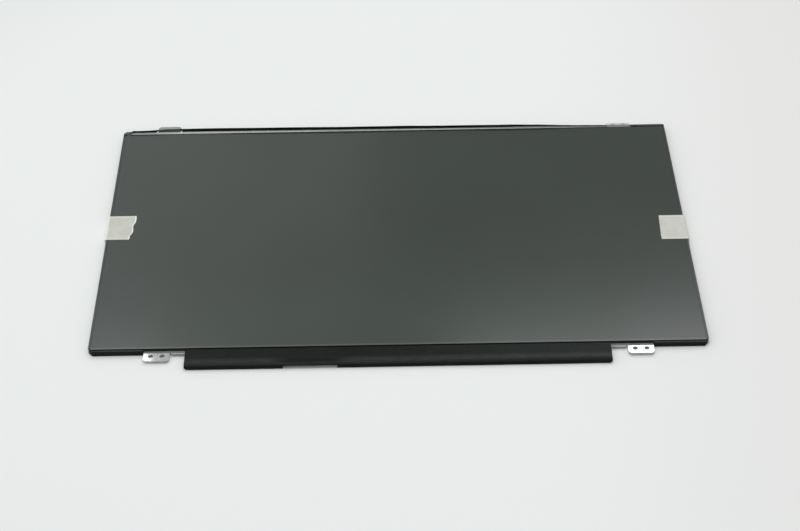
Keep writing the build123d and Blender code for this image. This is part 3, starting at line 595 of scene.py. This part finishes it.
def dress_nodes(finishes):
    """Each CAD node takes the finish of its slot in the record; the side tapes have a paler black one."""
    side_tape = finish("side_tape", (34, 40, 37), (40, 46, 43), (0.2, 0.28), 90, 2600, bump=0.06)
    for name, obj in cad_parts.items():
        for place in obj.material_slots:
            place.material = side_tape if name in SIDE_TAPES else finishes[place.material.name]


def steps(start, end, count):
    """Even places from start to end, both included."""
    return [start + (end - start) * i / count for i in range(count + 1)]


def smooth_between(values, share):
    """A smooth line through values at even steps, read at a share of its length."""
    last = len(values) - 1
    at = min(max(share, 0.0), 1.0) * last
    i = min(int(at), last - 1)
    a, b = values[max(i - 1, 0)], values[i]
    c, d = values[i + 1], values[min(i + 2, last)]
    t = at - i
    return b + t * (c - a + t * (2 * a - 5 * b + 4 * c - d + t * (3 * (b - c) + d - a))) / 2


def eased(points, share):
    """A line through points (place, value) that eases in and out of each, read at a share."""
    for (a, first), (b, second) in zip(points, points[1:]):
        if share <= b:
            s = max(share - a, 0) / (b - a)
            return first + (second - first) * s * s * (3 - 2 * s)
    return points[-1][1]


def wander(x, y, size, seed):
    """A smooth random height from about -1 to 1, with bumps of a given size."""
    return noise.noise(Vector((x / size, y / size, seed)))


def sheet_piece(name, columns, keep, thickness, node_name, materials):
    """A sheet through a grid of points, thickened towards its back, that stands for a CAD node.

    A second material is for the first rows."""
    rows = len(columns[0])
    points = [point for column in columns for point in column]
    faces = []
    edged = []
    for i in range(len(columns) - 1):
        for j in range(rows - 1):
            if keep(i, j):
                first = i * rows + j
                faces.append((first, first + 1, first + rows + 1, first + rows))
                edged.append(len(materials) > 1 and j < EDGING_ROWS)
    used = sorted({corner for face in faces for corner in face})
    number = {old: new for new, old in enumerate(used)}
    mesh = bpy.data.meshes.new(name)
    mesh.from_pydata([points[i] for i in used], [], [[number[i] for i in face] for face in faces])
    for material in materials:
        mesh.materials.append(material)
    for polygon, pale in zip(mesh.polygons, edged):
        polygon.material_index = int(pale)
    piece = bpy.data.objects.new(name, mesh)
    bpy.context.scene.collection.objects.link(piece)
    thicken = piece.modifiers.new("thickness", "SOLIDIFY")
    thicken.thickness = thickness
    thicken.offset = -1
    bpy.context.view_layer.update()
    solid = bpy.data.meshes.new_from_object(piece.evaluated_get(bpy.context.evaluated_depsgraph_get()))
    piece.modifiers.clear()
    piece.data = solid
    solid.name = name
    solid.shade_smooth()
    solid.set_sharp_from_angle(angle=radians(SHARP_DEGREES))
    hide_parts(node_name)
    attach(piece, "root")


def cover_tape(finishes):
    """The tape over the board: level from the glass, then sloping, rounded off and folded down in front."""
    low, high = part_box("board_cover_tape")
    fold_y, fold_z = low.y + COVER_FOLD, high.z - COVER_SAG - COVER_FOLD
    slope_y = fold_y + COVER_SLOPE
    notch = offset(notch_middle(), (-NOTCH_WIDTH / 2, NOTCH_WIDTH / 2))

    flat = [(y, high.z) for y in steps(high.y, slope_y, COVER_ROWS)]
    flat += [(slope_y - COVER_SLOPE * s, high.z - COVER_SAG * s * s) for s in steps(0, 1, ARC_STEPS)[1:]]
    quarter = steps(0, pi / 2, ARC_STEPS)[1:]
    fold = [(fold_y - COVER_FOLD * sin(a), fold_z + COVER_FOLD * cos(a)) for a in quarter]
    notch_row = len(flat) + FOLD_IN_NOTCH

    ends = [low.x, *notch, high.x]
    places = [low.x]
    inside = []
    for part, (a, b, count) in enumerate(zip(ends, ends[1:], COVER_STEPS)):
        places += steps(a, b, count)[1:]
        inside += [part == 1] * count
    columns = []
    for x in places:
        from_end = min(x - low.x, high.x - x)
        bottom = low.z + max(LIP_CORNER - from_end, 0)
        column = []
        for y, z in flat:
            loose = min((high.y - y) / LEVEL_NEAR_GLASS, 1) * min(from_end / LEVEL_NEAR_END, 1)
            wave = sum(weight * wander(x, y, size, seed) for size, seed, weight in COVER_WAVES)
            column.append(Vector((x, y, z + COVER_WAVE * loose * (wave - WAVE_DROP))))
        for y, z in fold + [(low.y, z) for z in steps(fold_z, bottom, LIP_ROWS)[1:]]:
            pull = LIP_WAVE * (wander(x, z, LIP_WAVE_SIZE, LIP_WAVE_SEED) - LIP_DROP)
            column.append(Vector((x, y - pull, z)))
        columns.append(column)
    sheet_piece("cover_tape", columns, lambda i, j: not (inside[i] and j >= notch_row), TAPE_SHEET,
                "board_cover_tape", [finishes["black_tape"]])


def top_tape(finishes):
    """The tape on the top wall; its loose edge stands up and leans, and is cut open at the screw tabs."""
    low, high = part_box("top_edge_tape")
    wall_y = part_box("mold_frame")[1].y + TOP_WALL
    half = TAB_WIDTH / 2 + TAB_PLAY
    slit = (-SLIT_WIDTH / 2, SLIT_WIDTH / 2)
    cuts = [*offset(-UPPER_TAB_X - half, slit), *offset(-UPPER_TAB_X + half, slit),
            *offset(UPPER_TAB_X, (-half, half))]
    ends = [low.x - CORNER_OVERHANG, low.x, *cuts, high.x]
    places = [low.x - CORNER_OVERHANG]
    for a, b in zip(ends, ends[1:]):
        places += steps(a, b, max(2, round((b - a) / TOP_STEP)))[1:]
    wall_rows = steps(low.z, RAIL_TOP - RAIL_SHEET, WALL_ROWS) + [RAIL_TOP]
    slit_share = SLIT_HEIGHT / TOP_FLAP
    flap_rows = [slit_share / 2, slit_share] + steps(slit_share, 1, FLAP_ROWS)[1:]
    columns = []
    for x in places:
        share = max(x - low.x, 0) / (high.x - low.x)
        rise = radians(eased(FLAP_RISE, share))
        stuck = eased(FLAP_STUCK, share) * MM
        free = min(TOP_FLAP, TAPE_ON_TOP - stuck)
        here_y = wall_y - max(low.x - x, 0)
        column = [Vector((x, here_y, z)) for z in wall_rows]
        at = Vector((x, here_y - stuck, RAIL_TOP + 2 * TAPE_SHEET * min(stuck / TAPE_SHEET, 1)))
        laid = 1 - min(max((x - low.x - LAID_END) / LAID_EASE, 0), 1)
        free += laid * (TAPE_ON_TOP - TOP_FLAP)
        gone = 0.0
        for reach in flap_rows:
            curl = radians(FLAP_CURL) * wander(x, reach * TOP_FLAP, FLAP_CURL_SIZE, FLAP_CURL_SEED) * reach
            if reach > LAID_FROM:
                curl -= radians(LAID_BEND) * laid
            way = Vector((0, -cos(rise + curl), sin(rise + curl)))
            at = at + way * free * (reach - gone)
            gone = reach
            column.append(at.copy())
        columns.append(column)
    first_flap = len(wall_rows) - 1

    def keep(i, j):
        x = (places[i] + places[i + 1]) / 2
        if abs(x - UPPER_TAB_X) < half:
            return j < first_flap - 1
        from_left = abs(x + UPPER_TAB_X)
        if from_left < half and j == first_flap - 1:
            return False
        in_slit = abs(from_left - half) < SLIT_WIDTH / 2
        return not (in_slit and first_flap <= j < first_flap + 2)

    sheet_piece("top_tape", columns, keep, TAPE_SHEET, "top_edge_tape",
                [finishes["black_tape"]])


def paper_piece(name, node_name, side, tear, shift, fray, seed, materials):
    """A short paper tape on the face, with a torn inner end, and its outer end folded down past the edge."""
    low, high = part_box(node_name)
    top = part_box("front_polarizer")[1].z + PAPER_SHEET
    edge = max(-low.x, high.x) - PAPER_FOLD
    fold_z = top - PAPER_FOLD
    quarter = steps(0, pi / 2, ARC_STEPS)[1:]
    bend = [(edge + PAPER_FOLD * sin(a), fold_z + PAPER_FOLD * cos(a)) for a in quarter]
    drop = [(edge + PAPER_FOLD, z) for z in steps(fold_z, low.z, DROP_ROWS)[1:]]

    def rough(x, y, sizes, *seeds):
        coarse, fine = [wander(x, y, size, number) for size, number in zip(sizes, seeds)]
        return coarse + FINER_SHARE * fine

    columns = []
    for y in steps(low.y + shift, high.y + shift, PAPER_COLUMNS):
        share = (y - shift - low.y) / (high.y - low.y)
        reach = smooth_between(tear, share) * MM
        reach += fray * (rough(y, 0, FRAY_SIZES, seed, seed + 4) - FRAY_DROP)
        column = []
        for out in steps(edge - reach, edge, PAPER_ROWS):
            dent = max(rough(out, y, PAPER_DENT_SIZES, seed, seed + 2), 0)
            column.append(Vector((side * out, y, top - PAPER_DENT * dent)))
        for out, z in bend + drop:
            swing = PAPER_SWING * wander(z, y, PAPER_SWING_SIZE, seed + 6)
            column.append(Vector((side * (out - abs(swing)), y, z)))
        columns.append(column)
    if side < 0:
        columns.reverse()
    sheet_piece(name, columns, lambda i, j: True, PAPER_SHEET, node_name, materials)


add_camera()
add_stage()
finishes = make_finishes()
dress_nodes(finishes)
cover_tape(finishes)
top_tape(finishes)
torn_paper = finish("torn_paper", (224, 226, 220), (238, 239, 234), (0.8, 0.92), 900, 3000, bump=0.4)
paper_piece("left_paper", "left_holding_tape", -1, LEFT_TEAR, 0, TEAR_FRAY, LEFT_PAPER_SEED,
            [finishes["paper_tape"], torn_paper])
# The right paper's last two colours are its painted lit-through tone past the panel's edge
right_tape = paper_tape("right_paper_tape", "right_holding_tape", RIGHT_PAPER_SHIFT, (202, 202, 193),
                        (212, 212, 204))
paper_piece("right_paper", "right_holding_tape", 1, RIGHT_TEAR, RIGHT_PAPER_SHIFT, TEAR_FRAY / 2,
            RIGHT_PAPER_SEED, [right_tape])
